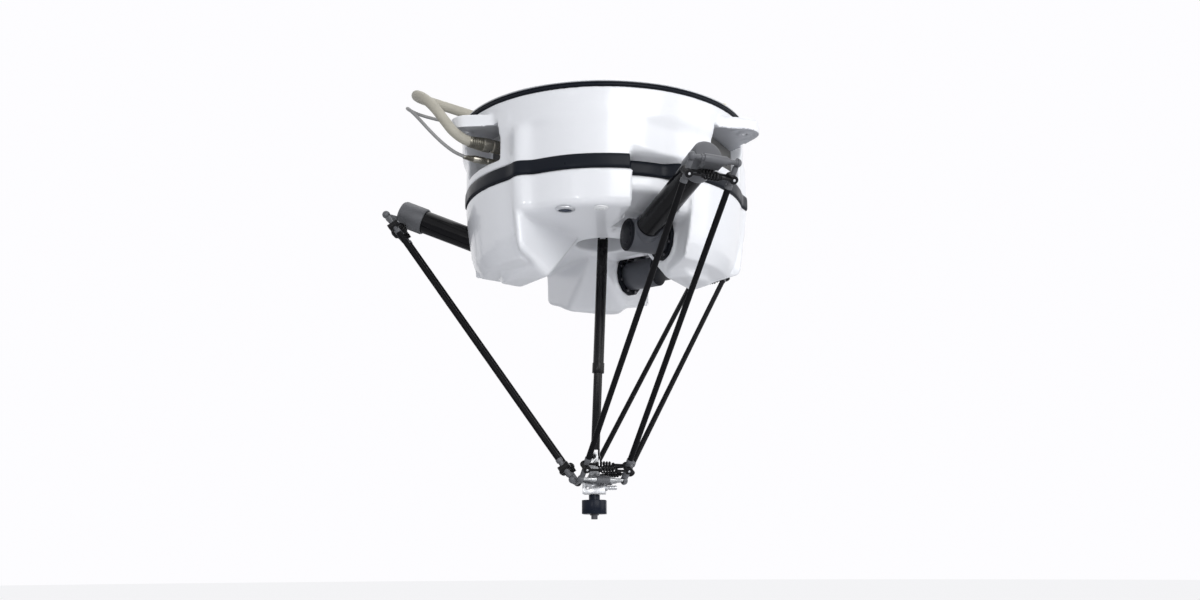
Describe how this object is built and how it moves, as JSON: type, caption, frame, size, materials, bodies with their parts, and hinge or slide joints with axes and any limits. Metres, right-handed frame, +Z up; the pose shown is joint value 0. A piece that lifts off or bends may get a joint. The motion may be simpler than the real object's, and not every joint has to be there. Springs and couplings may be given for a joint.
{
  "type": "delta robot",
  "caption": "Ceiling-mounted delta robot: round motor housing, upper arms with paired rods, and a small moving plate with a tool turned by a telescopic shaft.",
  "frame": {"origin": "centre of the three mounting lugs' bolt circle, on the plane of their undersides", "axes": "+Z up, out of the lid; -Y is the front; the arms point to 180, 300 and 60 degrees from +X"},
  "size_m": [0.9244, 1.0113, 1.001],
  "materials": {
    "white_paint": "gloss",
    "lid_metal": "satin",
    "rubber_seal": "satin",
    "zinc_steel": "satin",
    "inner_metal": "satin",
    "port_metal": "satin",
    "port_glass": "gloss",
    "white_plastic": "gloss",
    "panel_metal": "satin",
    "connector_metal": "satin",
    "motor_black": "satin",
    "flange_black": "satin",
    "hub_grey": "satin",
    "cap_dark": "satin",
    "tube_black": "gloss",
    "cast_grey": "satin",
    "rod_black": "matte",
    "spring_black": "satin",
    "plate_grey": "satin",
    "bar_steel": "satin",
    "silver_metal": "satin",
    "swivel_blue": "satin",
    "nozzle_dark": "satin",
    "shaft_black": "gloss",
    "power_sheath": "matte",
    "signal_sheath": "satin",
    "tie_black": "matte"
  },
  "bodies": {
    "base": {"housing_ring": "white_paint", "lid": "lid_metal", "lid_seal": "rubber_seal", "lid_screws": "zinc_steel", "band_seal": "rubber_seal", "lower_housing": "white_paint", "inner_plate": "inner_metal", "housing_bolts": "zinc_steel", "port_ring": "port_metal", "port_glass": "port_glass", "port_plug": "white_plastic", "socket_panel": "panel_metal", "power_socket": "connector_metal", "signal_socket": "connector_metal", "gearboxes": "inner_metal", "motor_1": "motor_black", "motor_2": "motor_black", "motor_3": "motor_black", "flange_rings": "flange_black", "flange_bolts": "zinc_steel", "shaft_drive": "inner_metal", "power_cable": "power_sheath", "power_coil": "power_sheath", "power_tie": "tie_black", "power_plug": "connector_metal", "signal_cable": "signal_sheath", "signal_coil": "signal_sheath", "signal_tie": "tie_black", "signal_plug": "connector_metal"},
    "arm_1": {"hub_1": "hub_grey", "hub_cap_1": "cap_dark", "arm_tube_1": "tube_black", "elbow_1": "cast_grey"},
    "arm_2": {"hub_2": "hub_grey", "hub_cap_2": "cap_dark", "arm_tube_2": "tube_black", "elbow_2": "cast_grey"},
    "arm_3": {"hub_3": "hub_grey", "hub_cap_3": "cap_dark", "arm_tube_3": "tube_black", "elbow_3": "cast_grey"},
    "rods_1": {"rods_1": "rod_black", "rod_ends_1": "cast_grey", "springs_1": "spring_black"},
    "rods_2": {"rods_2": "rod_black", "rod_ends_2": "cast_grey", "springs_2": "spring_black"},
    "rods_3": {"rods_3": "rod_black", "rod_ends_3": "cast_grey", "springs_3": "spring_black"},
    "plate": {"plate": "plate_grey", "ball_bars": "bar_steel", "plate_block": "silver_metal", "hose_barb": "silver_metal"},
    "tool": {"tool_yoke": "bar_steel", "swivel": "swivel_blue", "nozzle": "nozzle_dark"},
    "shaft_outer": {"shaft_outer": "shaft_black"},
    "shaft_inner": {"shaft_inner": "shaft_black"},
    "top_yoke": {"top_yoke": "bar_steel"}
  },
  "joints": [
    {"name": "plate_slide", "type": "slide", "parent": "base", "child": "plate", "axis": [0, 0, 1], "range_m": [-0.1, 0]},
    {"name": "arm_1_pivot", "type": "hinge", "parent": "base", "child": "arm_1", "pos_m": [-0.2, 0, -0.247], "axis": [0, -1, 0], "range_deg": [0, 19.35]},
    {"name": "arm_2_pivot", "type": "hinge", "parent": "base", "child": "arm_2", "pos_m": [0.1, -0.1732, -0.247], "axis": [0.866, 0.5, 0], "range_deg": [0, 17.8]},
    {"name": "arm_3_pivot", "type": "hinge", "parent": "base", "child": "arm_3", "pos_m": [0.1, 0.1732, -0.247], "axis": [-0.866, 0.5, 0], "range_deg": [0, 17.94]},
    {"name": "rods_1_pivot", "type": "hinge", "parent": "arm_1", "child": "rods_1", "pos_m": [-0.5326, 0, -0.13803], "axis": [0, -1, 0], "range_deg": [-17.52, 0]},
    {"name": "rods_2_pivot", "type": "hinge", "parent": "arm_2", "child": "rods_2", "pos_m": [0.27126, -0.46983, -0.17499], "axis": [0.866, 0.5, 0], "range_deg": [-16.96, 0]},
    {"name": "rods_3_pivot", "type": "hinge", "parent": "arm_3", "child": "rods_3", "pos_m": [0.27089, 0.46919, -0.17159], "axis": [-0.866, 0.5, 0], "range_deg": [-17.02, 0]},
    {"name": "shaft_spin", "type": "hinge", "parent": "base", "child": "shaft_outer", "pos_m": [0, 0, -0.185], "axis": [0.04, -0.0033, 0.9992], "continuous": true},
    {"name": "shaft_slide", "type": "slide", "parent": "shaft_outer", "child": "shaft_inner", "axis": [0.04, -0.0033, 0.9992], "range_m": [-0.1002, 0]},
    {"name": "tool_spin", "type": "hinge", "parent": "plate", "child": "tool", "pos_m": [-0.024, 0.002, -0.79], "axis": [0, 0, 1], "continuous": true},
    {"name": "yoke_spin", "type": "hinge", "parent": "base", "child": "top_yoke", "pos_m": [0, 0, -0.185], "axis": [0, 0, 1], "continuous": true}
  ],
  "couplings": [
    {"joint": "arm_1_pivot", "follows": "plate_slide", "rad_per_m": -3.351},
    {"joint": "arm_2_pivot", "follows": "plate_slide", "rad_per_m": -3.0807},
    {"joint": "arm_3_pivot", "follows": "plate_slide", "rad_per_m": -3.1057},
    {"joint": "rods_1_pivot", "follows": "plate_slide", "rad_per_m": 3.0308},
    {"joint": "rods_2_pivot", "follows": "plate_slide", "rad_per_m": 2.9342},
    {"joint": "rods_3_pivot", "follows": "plate_slide", "rad_per_m": 2.9444},
    {"joint": "shaft_slide", "follows": "plate_slide", "ratio": 1.0008},
    {"joint": "shaft_spin", "follows": "tool_spin", "ratio": 1},
    {"joint": "yoke_spin", "follows": "tool_spin", "ratio": 1}
  ]
}
